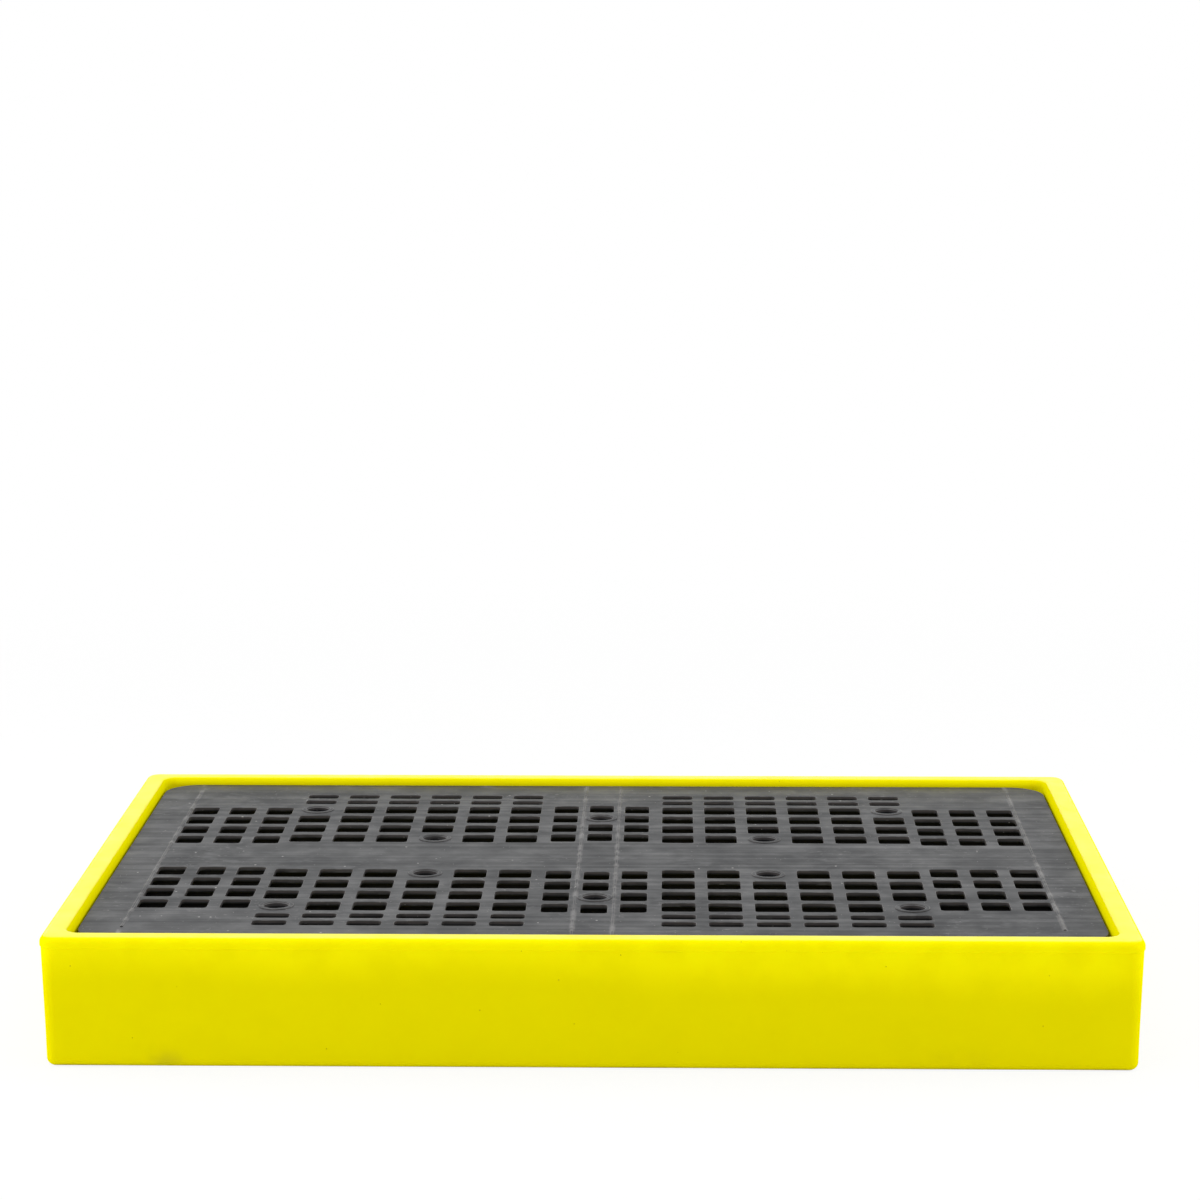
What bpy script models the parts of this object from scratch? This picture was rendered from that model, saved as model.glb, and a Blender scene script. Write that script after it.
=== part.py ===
"""Two-drum spill containment pallet: a double-walled sump, the slotted deck that lifts out of it,
the tubular columns plugged into the deck, and the plug in the sump's moulding vent.

Metres, +Z up. The origin is the centre of the base, on the floor. +X runs along the long side.
"""

import math

import bmesh
import bpy
from mathutils import Matrix

# Overall size
WIDTH = 1.2656
DEPTH = 0.8556
HEIGHT = 0.1542
GAP = 0.0003  # clearance between pieces that touch

# Sump: outside
SKIN = 0.005
LIP_HEIGHT = 0.013  # proud band under the rim, above the mould's parting line
LIP_STEP = 0.0012
BASE_INSET = 0.0056  # draft of the side walls, measured at the floor
BASE_FILLET = 0.009
RIM_OUTER_FILLET = 0.008
OUTER_CORNER = 0.018

# Sump: inside
RIM_WIDTH = 0.0323
RIM_INNER_FILLET = 0.010
INNER_CORNER = 0.012
INNER_DRAFT = 0.001  # over the short wall beside the deck
LEDGE_WIDTH = 0.010
SUMP_CORNER = 0.020
SUMP_CORNER_CLOSING = 0.6  # how much the corner radius shrinks for each metre the wall leans in
FLOOR_TOP = 0.022
FLOOR_FILLET = 0.015
LOWER_DRAFT = 0.0055

# Deck
DECK_DROP = 0.0088  # from the rim's top to the deck's top
DECK_TOP = HEIGHT - DECK_DROP
DECK_GAP = 0.0025  # all round, to the sump's wall
DECK_HALF_X = WIDTH / 2 - RIM_WIDTH - DECK_GAP
DECK_HALF_Y = DEPTH / 2 - RIM_WIDTH - DECK_GAP
DECK_HEIGHT = 0.028
DECK_BOTTOM = DECK_TOP - DECK_HEIGHT
DECK_CORNER = 0.045
DECK_EDGE = 0.0015
PLATE = 0.006
PLATE_BOTTOM = DECK_TOP - PLATE
SKIRT = 0.004

# Slots: rows mirror front to back, columns left to right
ROW_FIRST = 0.099
ROW_PITCH = 0.0525
ROW_COUNT = 4
SLOT_LENGTH = 0.0395
OUTER_ROWS = (0.2915, 0.324)
OUTER_SLOT_LENGTH = 0.021
MAIN_FIRST = 0.1008
MAIN_PITCH = 0.0556
MAIN_COUNT = 6
MAIN_WIDTH = 0.0404
MAIN_SHIFT = -0.009  # of the rows, towards the pallet's middle
FLANK_X = 0.047
FLANK_SHIFT = -0.004
CENTRE_WIDTH = 0.032
CORNER_FIRST = 0.429
CORNER_PITCH = 0.0495
CORNER_COUNT = 3
CORNER_WIDTH = 0.034
CORNER_SHIFT = -0.018

# Ribs under the deck's plate: some between the columns of slots, and one under each bar
RIB_WIDTH = 0.0035
RIB_DEPTH = 0.018
RIB_STEP = 0.002  # ribs along X are this much shallower
CENTRE_END = 0.0718
MAIN_END = 0.4055
CORNER_END = 0.550
RIB_COLUMNS = (0.0235, CENTRE_END, 0.1842, 0.2954, MAIN_END, CORNER_END)
RIB_ROWS = (0.0, 0.057, 0.362)
CENTRE_RIBS = (0.1233, 0.1738, 0.2283, 0.2815)

# Columns, and the deck's sockets for them
COLUMN_RADIUS = 0.020
COLUMN_BORE = 0.0155
FOOT_RADIUS = 0.030
FOOT_HEIGHT = 0.004
FOOT_FLARE = 0.008
SOCKET_RADIUS = 0.027
SOCKET_DEPTH = 0.014
SOCKET_ROOF = 0.0002  # the socket bites this far into the plate
HOLE_RADIUS = 0.0147

# Kiss-offs: solid posts that join the floor's two skins under each column
POST_RADIUS = 0.030
POST_BITE = 0.0025
RECESS_MOUTH = 0.022
RECESS_END = 0.017
RECESS_DEPTH = 0.013

# Vent and its plug
VENT_X = 0.0
VENT_Y = 0.320
VENT_RADIUS = 0.0113
VENT_RECESS_RADIUS = 0.0168
VENT_RECESS_DEPTH = 0.003
PLUG_FLANGE_RADIUS = 0.0165
PLUG_FLANGE = 0.002
PLUG_BARB_RADIUS = 0.0124
PLUG_BARB = 0.003
PLUG_NOSE = 0.002
PLUG_NOSE_TAPER = 0.8  # the nose's radius, as a share of the stem's

# Facets
CORNER_STEPS = 8
FILLET_STEPS = 3
ROUND_STEPS = 24
CUT_THROUGH = 0.005  # how far a cutter passes the face it opens
MERGE_DISTANCE = 0.00001
SAME_PLACE = 0.0001  # two places closer than this are one


def clear_scene():
    for obj in list(bpy.data.objects):
        bpy.data.objects.remove(obj, do_unlink=True)


def new_collection(name):
    collection = bpy.data.collections.new(name)
    bpy.context.scene.collection.children.link(collection)
    return collection


def plastic(name, colour, roughness):
    material = bpy.data.materials.new(name)
    material.use_nodes = True
    shader = material.node_tree.nodes["Principled BSDF"]
    shader.inputs["Base Color"].default_value = (*colour, 1.0)
    shader.inputs["Roughness"].default_value = roughness
    shader.inputs["Metallic"].default_value = 0.0
    return material


def mesh_object(name, bm, collection, material=None):
    mesh = bpy.data.meshes.new(name)
    bmesh.ops.recalc_face_normals(bm, faces=bm.faces[:])
    bm.to_mesh(mesh)
    bm.free()
    obj = bpy.data.objects.new(name, mesh)
    collection.objects.link(obj)
    if material:
        mesh.materials.append(material)
    return obj


def as_cutter(obj):
    obj.hide_render = True
    obj.display_type = "WIRE"
    return obj


def arc(centre, radius, start, end, steps=FILLET_STEPS):
    """Points (inset, z) along an arc, with its angles in degrees."""
    angles = [math.radians(start + (end - start) * i / steps) for i in range(steps + 1)]
    return [(centre[0] + radius * math.cos(a), centre[1] + radius * math.sin(a)) for a in angles]


def outline(bm, half_x, half_y, radius, z):
    """The vertices of one rounded rectangle, anticlockwise."""
    verts = []
    for quarter, (sx, sy) in enumerate(((1, 1), (-1, 1), (-1, -1), (1, -1))):
        for i in range(CORNER_STEPS + 1):
            angle = math.radians(90 * (quarter + i / CORNER_STEPS))
            x = sx * (half_x - radius) + radius * math.cos(angle)
            y = sy * (half_y - radius) + radius * math.sin(angle)
            verts.append(bm.verts.new((x, y, z)))
    return verts


def lofted(name, half_x, half_y, sections, collection, material=None):
    """A closed body through rounded rectangles. Each section is (inset, z, corner radius)."""
    bm = bmesh.new()
    rings = [outline(bm, half_x - inset, half_y - inset, radius, z) for inset, z, radius in sections]
    for lower, upper in zip(rings, rings[1:]):
        for i in range(len(lower)):
            bm.faces.new((lower[i - 1], lower[i], upper[i], upper[i - 1]))
    bm.faces.new(rings[0])
    bm.faces.new(rings[-1])
    return mesh_object(name, bm, collection, material)


def box_set(name, boxes, collection):
    """Separate boxes in one cutter or filler. Each is (centre, size)."""
    bm = bmesh.new()
    for centre, size in boxes:
        place = Matrix.Translation(centre) @ Matrix.Diagonal((*size, 1.0))
        bmesh.ops.create_cube(bm, size=1.0, matrix=place)
    return as_cutter(mesh_object(name, bm, collection))


def cone_set(name, places, low, high, low_radius, high_radius, collection):
    """Separate upright cylinders or cones in one cutter or filler, one at each (x, y)."""
    bm = bmesh.new()
    for x, y in places:
        bmesh.ops.create_cone(
            bm,
            cap_ends=True,
            segments=ROUND_STEPS,
            radius1=low_radius,
            radius2=high_radius,
            depth=high - low,
            matrix=Matrix.Translation((x, y, (low + high) / 2)),
        )
    return as_cutter(mesh_object(name, bm, collection))


def turned(name, profile, location, collection, material):
    """A closed profile of (radius, z), down its outer side and back up, turned about Z."""
    mesh = bpy.data.meshes.new(name)
    count = len(profile)
    edges = [(i, (i + 1) % count) for i in range(count)]
    mesh.from_pydata([(radius, 0.0, z) for radius, z in profile], edges, [])
    mesh.materials.append(material)
    obj = bpy.data.objects.new(name, mesh)
    obj.location = location
    collection.objects.link(obj)
    screw(obj)
    return obj


def screw(obj):
    modifier = obj.modifiers.new("Turn", "SCREW")
    modifier.axis = "Z"
    modifier.steps = ROUND_STEPS
    modifier.render_steps = ROUND_STEPS
    modifier.use_merge_vertices = True
    modifier.merge_threshold = MERGE_DISTANCE
    modifier.use_smooth_shade = True


def boolean(obj, other, operation):
    modifier = obj.modifiers.new(other.name, "BOOLEAN")
    modifier.operation = operation
    modifier.object = other
    modifier.solver = "EXACT"


def mirrored(places):
    """The places (x, y) of one quarter and their images in the other three."""
    return sorted({(sx * x, sy * y) for x, y in places for sx in (1, -1) for sy in (1, -1)})


def slot_columns():
    """Each column of slots on the +X side as (x, slot width, shift of its rows)."""
    columns = [(0.0, CENTRE_WIDTH, 0.0), (FLANK_X, CENTRE_WIDTH, FLANK_SHIFT)]
    columns += [(MAIN_FIRST + i * MAIN_PITCH, MAIN_WIDTH, MAIN_SHIFT) for i in range(MAIN_COUNT)]
    columns += [(CORNER_FIRST + i * CORNER_PITCH, CORNER_WIDTH, CORNER_SHIFT) for i in range(CORNER_COUNT)]
    return columns


def column_places():
    """Where the support columns stand: each takes the place of one slot."""
    last_row = ROW_FIRST + (ROW_COUNT - 1) * ROW_PITCH
    on_centre_line = (0.0, last_row - ROW_PITCH)
    near_corner = (MAIN_FIRST + (MAIN_COUNT - 1) * MAIN_PITCH, last_row + MAIN_SHIFT)
    under_drum = (MAIN_FIRST + 2 * MAIN_PITCH, ROW_FIRST + MAIN_SHIFT)
    return mirrored([on_centre_line, near_corner, under_drum])


def slots():
    """Every slot as ((x, y), (width, length)), leaving out the cells that hold a column."""
    found = {}
    for x, width, shift in slot_columns():
        rows = [(ROW_FIRST + i * ROW_PITCH + shift, SLOT_LENGTH) for i in range(ROW_COUNT)]
        if shift == MAIN_SHIFT:
            rows += [(y, OUTER_SLOT_LENGTH) for y in OUTER_ROWS]
        for y, length in rows:
            for place in mirrored([(x, y)]):
                if min(math.dist(place, column) for column in column_places()) > SAME_PLACE:
                    found[place] = (width, length)
    return sorted(found.items())


def reach_of_deck(y):
    """How far the deck runs to each side at this y, up to the middle of its skirt."""
    into_corner = max(y - (DECK_HALF_Y - DECK_CORNER), 0.0)
    return DECK_HALF_X - DECK_CORNER + math.sqrt(DECK_CORNER**2 - into_corner**2) - SKIRT / 2


def rib_rows():
    """Each rib along X as (low x, high x, y): across the whole deck, or under the bars of one group."""
    ribs = [(-reach_of_deck(y), reach_of_deck(y), y) for y in RIB_ROWS]
    ribs += [(-CENTRE_END, CENTRE_END, y) for y in CENTRE_RIBS]
    bars = [ROW_FIRST + (i + 0.5) * ROW_PITCH for i in range(ROW_COUNT)]
    last_slot_end = ROW_FIRST + (ROW_COUNT - 1) * ROW_PITCH + MAIN_SHIFT + SLOT_LENGTH / 2
    first_outer_start = OUTER_ROWS[0] - OUTER_SLOT_LENGTH / 2
    main_bars = [y + MAIN_SHIFT for y in bars[:-1]]
    main_bars += [(last_slot_end + first_outer_start) / 2, sum(OUTER_ROWS) / 2]
    for side in (1, -1):
        ribs += [(*sorted((side * CENTRE_END, side * MAIN_END)), y) for y in main_bars]
        ribs += [(*sorted((side * MAIN_END, side * CORNER_END)), y + CORNER_SHIFT) for y in bars]
    return sorted({(low, high, side * y) for low, high, y in ribs for side in (1, -1)})


def sump_sections():
    """The sump's closed surface, from the base, over the rim, down to the sump's floor."""
    outside = arc((BASE_INSET + BASE_FILLET, BASE_FILLET), BASE_FILLET, 270, 180)
    outside.append((LIP_STEP, HEIGHT - LIP_HEIGHT))
    outside.append((0.0, HEIGHT - LIP_HEIGHT + LIP_STEP))
    outside += arc((RIM_OUTER_FILLET, HEIGHT - RIM_OUTER_FILLET), RIM_OUTER_FILLET, 180, 90)
    inner_centre = (RIM_WIDTH - RIM_INNER_FILLET, HEIGHT - RIM_INNER_FILLET)
    beside_deck = arc(inner_centre, RIM_INNER_FILLET, 90, 0)
    wall_foot = RIM_WIDTH + INNER_DRAFT
    ledge_end = wall_foot + LEDGE_WIDTH
    ledge_top = DECK_BOTTOM - GAP
    beside_deck.append((wall_foot, ledge_top))
    floor_centre = (ledge_end + LOWER_DRAFT + FLOOR_FILLET, FLOOR_TOP + FLOOR_FILLET)
    below_deck = [(ledge_end, ledge_top)] + arc(floor_centre, FLOOR_FILLET, 180, 270)
    sections = [(inset, z, OUTER_CORNER - inset) for inset, z in outside]
    sections += [(inset, z, INNER_CORNER + max(RIM_WIDTH - inset, 0.0)) for inset, z in beside_deck]
    closing = SUMP_CORNER_CLOSING
    sections += [(inset, z, SUMP_CORNER - (inset - ledge_end) * closing) for inset, z in below_deck]
    return sections


def build_sump(parts, cutters, material):
    sump = lofted("sump", WIDTH / 2, DEPTH / 2, sump_sections(), parts, material)
    shell = sump.modifiers.new("Skin", "SOLIDIFY")
    shell.thickness = SKIN
    shell.offset = -1.0
    shell.use_even_offset = True
    places = column_places()
    post_top = FLOOR_TOP - POST_BITE
    posts = cone_set("kiss_off_posts", places, POST_BITE, post_top, POST_RADIUS, POST_RADIUS, cutters)
    boolean(sump, posts, "UNION")
    mouth = RECESS_MOUTH + CUT_THROUGH * (RECESS_MOUTH - RECESS_END) / RECESS_DEPTH
    recesses = cone_set("kiss_off_recesses", places, -CUT_THROUGH, RECESS_DEPTH, mouth, RECESS_END, cutters)
    boolean(sump, recesses, "DIFFERENCE")
    vent = [(VENT_X, VENT_Y)]
    bore = cone_set("vent_bore", vent, -CUT_THROUGH, SKIN + CUT_THROUGH, VENT_RADIUS, VENT_RADIUS, cutters)
    boolean(sump, bore, "DIFFERENCE")
    seat_radius = VENT_RECESS_RADIUS
    seat = cone_set("vent_seat", vent, -CUT_THROUGH, VENT_RECESS_DEPTH, seat_radius, seat_radius, cutters)
    boolean(sump, seat, "DIFFERENCE")
    return sump


def build_vent_plug(parts, material):
    """Flange under the skin, stem through it, barb above it. Its top runs to the axis."""
    stem = VENT_RADIUS - GAP
    flange_top = VENT_RECESS_DEPTH - GAP
    barb_low = SKIN + GAP
    barb_high = barb_low + PLUG_BARB
    profile = [
        (0.0, barb_high + PLUG_NOSE),
        (stem * PLUG_NOSE_TAPER, barb_high + PLUG_NOSE),
        (PLUG_BARB_RADIUS, barb_low + GAP),
        (stem, barb_low + GAP),
        (stem, flange_top),
        (PLUG_FLANGE_RADIUS, flange_top),
        (PLUG_FLANGE_RADIUS, flange_top - PLUG_FLANGE),
        (0.0, flange_top - PLUG_FLANGE),
    ]
    return turned("vent_plug", profile, (VENT_X, VENT_Y, 0.0), parts, material)


def build_deck(parts, cutters, material):
    sections = [
        (DECK_EDGE, DECK_TOP, DECK_CORNER - DECK_EDGE),
        (0.0, DECK_TOP - DECK_EDGE, DECK_CORNER),
        (0.0, DECK_BOTTOM, DECK_CORNER),
        (SKIRT, DECK_BOTTOM, DECK_CORNER - SKIRT),
        (SKIRT, PLATE_BOTTOM, DECK_CORNER - SKIRT),
    ]
    deck = lofted("deck", DECK_HALF_X, DECK_HALF_Y, sections, parts, material)
    bite = PLATE / 2
    rib_size = RIB_DEPTH + bite
    rib_z = PLATE_BOTTOM + bite - rib_size / 2
    cross_rib = 2 * (DECK_HALF_Y - SKIRT / 2)
    along_y = [((s * x, 0.0, rib_z), (RIB_WIDTH, cross_rib, rib_size)) for x in RIB_COLUMNS for s in (1, -1)]
    shallower = rib_size - RIB_STEP
    along_x = [
        (((low + high) / 2, y, rib_z + RIB_STEP / 2), (high - low, RIB_WIDTH, shallower))
        for low, high, y in rib_rows()
    ]
    boolean(deck, box_set("ribs_along_y", along_y, cutters), "UNION")
    boolean(deck, box_set("ribs_along_x", along_x, cutters), "UNION")
    places = column_places()
    socket_low = PLATE_BOTTOM - SOCKET_DEPTH
    socket_high = PLATE_BOTTOM + bite
    sockets = cone_set("sockets", places, socket_low, socket_high, SOCKET_RADIUS, SOCKET_RADIUS, cutters)
    boolean(deck, sockets, "UNION")
    middle = (DECK_TOP + DECK_BOTTOM) / 2
    through = DECK_HEIGHT + 2 * CUT_THROUGH
    openings = [((x, y, middle), (width, length, through)) for (x, y), (width, length) in slots()]
    boolean(deck, box_set("slot_cutters", openings, cutters), "DIFFERENCE")
    bore_radius = COLUMN_RADIUS + GAP
    bore_low = DECK_BOTTOM - CUT_THROUGH
    bore_high = PLATE_BOTTOM + SOCKET_ROOF
    bores = cone_set("socket_bores", places, bore_low, bore_high, bore_radius, bore_radius, cutters)
    boolean(deck, bores, "DIFFERENCE")
    hole_low = PLATE_BOTTOM - CUT_THROUGH
    hole_high = DECK_TOP + CUT_THROUGH
    holes = cone_set("round_holes", places, hole_low, hole_high, HOLE_RADIUS, HOLE_RADIUS, cutters)
    boolean(deck, holes, "DIFFERENCE")
    return deck


def build_columns(deck, parts, material):
    """Open tubes with a flared foot, plugged into the deck and standing on the sump's floor."""
    top = PLATE_BOTTOM + SOCKET_ROOF - GAP
    foot = FLOOR_TOP + GAP
    profile = [
        (COLUMN_RADIUS, top),
        (COLUMN_RADIUS, foot + FOOT_HEIGHT + FOOT_FLARE),
        (FOOT_RADIUS, foot + FOOT_HEIGHT),
        (FOOT_RADIUS, foot),
        (COLUMN_BORE, foot),
        (COLUMN_BORE, top),
    ]
    for number, (x, y) in enumerate(column_places(), start=1):
        column = turned(f"support_column_{number:02d}", profile, (x, y, 0.0), parts, material)
        column.parent = deck


def main():
    clear_scene()
    parts = new_collection("spill_pallet")
    cutters = new_collection("cutters")
    yellow = plastic("sump_yellow", (0.88, 0.80, 0.0), 0.38)
    black = plastic("deck_black", (0.022, 0.024, 0.028), 0.42)
    column_black = plastic("column_black", (0.018, 0.018, 0.020), 0.5)
    plug_black = plastic("plug_black", (0.03, 0.03, 0.03), 0.55)
    build_sump(parts, cutters, yellow)
    build_vent_plug(parts, plug_black)
    deck = build_deck(parts, cutters, black)
    build_columns(deck, parts, column_black)


main()
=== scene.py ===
"""Looks of the spill containment pallet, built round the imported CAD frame.

Every piece stands for one CAD node and keeps its place and size. Metres, +Z up, in the frame's own axes.
"""

import math

import bmesh
import bpy
from mathutils import Matrix, Vector, noise


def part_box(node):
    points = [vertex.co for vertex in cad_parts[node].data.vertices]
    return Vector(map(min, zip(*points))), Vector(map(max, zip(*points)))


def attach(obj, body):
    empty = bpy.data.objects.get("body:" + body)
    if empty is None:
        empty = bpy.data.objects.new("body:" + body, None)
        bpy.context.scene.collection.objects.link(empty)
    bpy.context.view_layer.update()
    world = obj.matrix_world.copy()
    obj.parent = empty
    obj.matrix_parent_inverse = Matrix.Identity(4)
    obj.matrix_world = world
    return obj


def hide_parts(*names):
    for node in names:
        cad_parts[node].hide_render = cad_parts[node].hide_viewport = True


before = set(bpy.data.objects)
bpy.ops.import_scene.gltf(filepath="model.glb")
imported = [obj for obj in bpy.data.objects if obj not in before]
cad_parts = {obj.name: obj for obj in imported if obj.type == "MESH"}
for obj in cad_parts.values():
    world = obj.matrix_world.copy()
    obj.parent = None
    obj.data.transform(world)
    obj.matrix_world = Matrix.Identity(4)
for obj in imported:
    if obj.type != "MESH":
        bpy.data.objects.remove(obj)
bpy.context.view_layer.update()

# What the frame gives
SUMP_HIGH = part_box("sump")[1]
DECK_LOW, DECK_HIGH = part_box("deck")
PLUG_LOW, PLUG_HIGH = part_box("vent_plug")
HEIGHT = SUMP_HIGH.z
DECK_TOP = DECK_HIGH.z
DECK_BOTTOM = DECK_LOW.z
COLUMN_BOXES = {name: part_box(name) for name in sorted(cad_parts) if name.startswith("support_column")}
COLUMN_PLACES = {name: (low + high).xy / 2 for name, (low, high) in COLUMN_BOXES.items()}
COLUMN_FOOT = min(low.z for low, high in COLUMN_BOXES.values())
COLUMN_TOP = max(high.z for low, high in COLUMN_BOXES.values())
FOOT_RADIUS = max((high.x - low.x) / 2 for low, high in COLUMN_BOXES.values())
GAP = 0.0003  # between pieces that touch

# Sump
DECK_GAP = 0.0025
RIM_WIDTH = SUMP_HIGH.x - DECK_HIGH.x - DECK_GAP
LIP_HEIGHT = 0.013
LIP_STEP = 0.0012
LIP_ROUND = 0.0006
LIP_BEND = 0.2  # share of the step that each rounded end takes
BASE_INSET = 0.0056
BASE_FILLET = 0.009
RIM_OUTER_FILLET = 0.008
RIM_INNER_FILLET = 0.010
OUTER_CORNER = 0.018
INNER_CORNER = 0.012
INNER_DRAFT = 0.001
LEDGE_WIDTH = 0.010
LEDGE_ROUND = 0.0025
SUMP_CORNER = 0.020
SUMP_CORNER_CLOSING = 0.6
FLOOR_TOP = COLUMN_FOOT - GAP
FLOOR_FILLET = 0.015
LOWER_DRAFT = 0.0055
RECESS_MOUTH = 0.022
RECESS_END = 0.017
RECESS_DEPTH = 0.013
WALL_WANDER = 0.0005  # how far the outer walls stray from flat
WANDER_SCALE = 3.1

# Deck
PLATE = 0.006
PLATE_BOTTOM = DECK_TOP - PLATE
PLATE_ROUND = 0.0009
DECK_CORNER = 0.045
SKIRT = 0.004
SKIRT_INSET = 0.00005  # keeps the skirt's face off the plate's edge
SLOT_CORNER = 0.0045
ROW_FIRST = 0.099
ROW_PITCH = 0.0525
ROW_COUNT = 4
SLOT_LENGTH = 0.0395
OUTER_ROWS = (0.2915, 0.324)
OUTER_SLOT_LENGTH = 0.021
MAIN_FIRST = 0.1008
MAIN_PITCH = 0.0556
MAIN_COUNT = 6
MAIN_WIDTH = 0.0404
MAIN_SHIFT = -0.009
FLANK_X = 0.047
FLANK_SHIFT = -0.004
CENTRE_WIDTH = 0.032
CORNER_FIRST = 0.429
CORNER_PITCH = 0.0495
CORNER_COUNT = 3
CORNER_WIDTH = 0.034
CORNER_SHIFT = -0.018
HOLE_RADIUS = 0.0147
RIB_ROOT = 0.0040
RIB_TIP = 0.0030
RIB_DEPTH = 0.018
RIB_STEP = 0.002
CENTRE_END = 0.0718
MAIN_END = 0.4055
CORNER_END = 0.550
RIB_COLUMNS = (0.0235, CENTRE_END, 0.1842, 0.2954, MAIN_END, CORNER_END)
RIB_ROWS = (0.0, 0.057, 0.362)
CENTRE_RIBS = (0.1233, 0.1738, 0.2283, 0.2815)
SOCKET_RADIUS = 0.027
SOCKET_BORE = 0.0203
SOCKET_DEPTH = 0.014
SOCKET_ROOF = 0.0002
RIDGE_HEIGHT = 0.0011
RIDGE_WIDTH = 0.0036
RIDGES = ((0.0235, 0.384), (0.5485, 0.345))  # x, and how far each runs front and back
COLLAR_RADIUS = 0.0218
COLLAR_HEIGHT = 0.0014

# Columns
COLUMN_RADIUS = 0.020
COLUMN_BORE = 0.0155
FOOT_HEIGHT = 0.004
FOOT_FLARE = 0.008
FLARE_START = 1.6  # height of the first ring over the flare, in flares
EDGE_ROUND = 0.0008

# Vent plug
STEM_SHARE = 0.66  # of the flange's radius
STEM_END_SHARE = 0.8  # of the stem's radius
BARB_SHARE = 1.1
BARB_LOW = 0.005
BARB_HIGH = 0.0045
FLANGE_THICKNESS = 0.002
DISH_SHARE = 0.6  # of the flange's radius, at the mouth
DISH_FLOOR_SHARE = 0.5
DISH_DEPTH = 0.0008

# Facets
CORNER_STEPS = 16
FILLET_STEPS = 8
SIDE_STEPS = 24
QUARTERS = (0.25, 0.5, 0.75)  # where a straight or bent length is divided
SLOT_STEPS = 5
ROUND_STEPS = 64
CUT_THROUGH = 0.005
SMOOTH_ANGLE = math.radians(35)

# Colours
YELLOW_PAINTED_GLOW = (0.97, 0.88, 0.001)  # painted glow near the rim, standing in for light that comes through the wall
YELLOW_DEEP = (0.79, 0.71, 0.0)
# The dull yellow of the mottle, also used as painted shade on the rim's inner slope.
YELLOW_DULL_AND_SHADE = (0.74, 0.66, 0.0)
PAINTED_GLOW_START = HEIGHT - 0.001  # height above the floor where the painted glow on the wall is brightest
PAINTED_GLOW_END = 0.085
# Grime, and also painted shade along the floor line.
DIRT_AND_SHADE = (0.22, 0.17, 0.03)
DECK_PAINTED_SHADE = (0.006, 0.006, 0.0065)  # painted shade under the plate and low in the slots
DECK_DARK = (0.008, 0.009, 0.011)
DECK_DUSTY = (0.027, 0.028, 0.030)
DECK_HAZE = (0.086, 0.087, 0.090)
# Scuffs, and the painted highlight on rounded edges and raised ridges.
DECK_SCUFF_AND_HIGHLIGHT = (0.125, 0.122, 0.122)
# Painted light on the upper walls of the slots.
SLOT_LIP_PAINTED_LIGHT = (0.058, 0.050, 0.050)
SLOT_LIP_DEPTH = 0.0040
DUST = (0.34, 0.33, 0.32)
TUBE_DARK = (0.016, 0.016, 0.018)
TUBE_PALE = (0.045, 0.045, 0.048)
PLUG_DARK = (0.022, 0.022, 0.022)
PLUG_PALE = (0.06, 0.06, 0.058)
FLOOR_GREY = (0.90, 0.90, 0.90)
FLOOR_PALE = (0.93, 0.93, 0.93)

# Studio
FLOOR_FADE = 1.0  # from the middle, where the floor starts to fade into the background
FLOOR_REACH = 3.2
FLOOR_DROP = 0.0002  # keeps the floor off the base's flat face
FLOOR_GLOW = 0.88  # how much of what the camera sees of the floor is plain white
WORLD_LIGHT = 0.66
GLOSS_LIGHT = 1.15  # the background as reflections see it
LAMPS = (  # name, place, size, power
    ("overhead", (0.0, 0.4, 4.2), (4.5, 3.6), 46.0),
    ("front_left", (-2.4, -3.4, 2.6), (1.8, 1.4), 26.0),
    ("left", (-3.0, -0.2, 1.5), (2.0, 1.4), 34.0),
    ("right", (3.0, -0.2, 1.5), (2.0, 1.4), 34.0),
)
CAMERA_SENSOR = 36.0
CAMERA_LENS = 102.86
CAMERA_SHIFT = -0.0636
CAMERA_PLACE = (0.0872, -4.2142, 1.2029)
CAMERA_DIP = 0.1492
CAMERA_TURN = 0.0200
CAMERA_ROLL = -0.0012


# ---------------------------------------------------------------- mesh helpers


def link(name, data):
    obj = bpy.data.objects.new(name, data)
    bpy.context.scene.collection.objects.link(obj)
    return obj


def from_bmesh(name, bm):
    bmesh.ops.recalc_face_normals(bm, faces=bm.faces[:])
    mesh = bpy.data.meshes.new(name)
    bm.to_mesh(mesh)
    bm.free()
    return link(name, mesh)


def arc(centre, radius, start, end, steps=FILLET_STEPS):
    """Points along an arc, with its angles in degrees."""
    angles = [math.radians(start + (end - start) * i / steps) for i in range(steps + 1)]
    return [(centre[0] + radius * math.cos(a), centre[1] + radius * math.sin(a)) for a in angles]


def rounded_rectangle(half_x, half_y, radius, corner_steps, side_steps=1):
    """Points round a rounded rectangle, anticlockwise, with each straight side divided."""
    corners = []
    for quarter, (sx, sy) in enumerate(((1, 1), (-1, 1), (-1, -1), (1, -1))):
        centre = (sx * (half_x - radius), sy * (half_y - radius))
        corners.append(arc(centre, radius, 90 * quarter, 90 * (quarter + 1), corner_steps))
    points = []
    for corner, following in zip(corners, corners[1:] + corners[:1]):
        start, end = Vector(corner[-1]), Vector(following[0])
        points += [Vector(p) for p in corner]
        points += [start.lerp(end, i / side_steps) for i in range(1, side_steps)]
    return points


def lofted(name, half_x, half_y, sections, side_steps=1, closed=False):
    """A body through rounded rectangles, each (inset, z, corner radius), capped or closed on itself."""
    bm = bmesh.new()
    rings = []
    for inset, z, radius in sections:
        outline = rounded_rectangle(half_x - inset, half_y - inset, radius, CORNER_STEPS, side_steps)
        rings.append([bm.verts.new((x, y, z)) for x, y in outline])
    following = rings[1:] + rings[:1] if closed else rings[1:]
    for lower, upper in zip(rings, following):
        for i in range(len(lower)):
            bm.faces.new((lower[i - 1], lower[i], upper[i], upper[i - 1]))
    if not closed:
        bm.faces.new(rings[0])
        bm.faces.new(rings[-1])
    return from_bmesh(name, bm)


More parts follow.
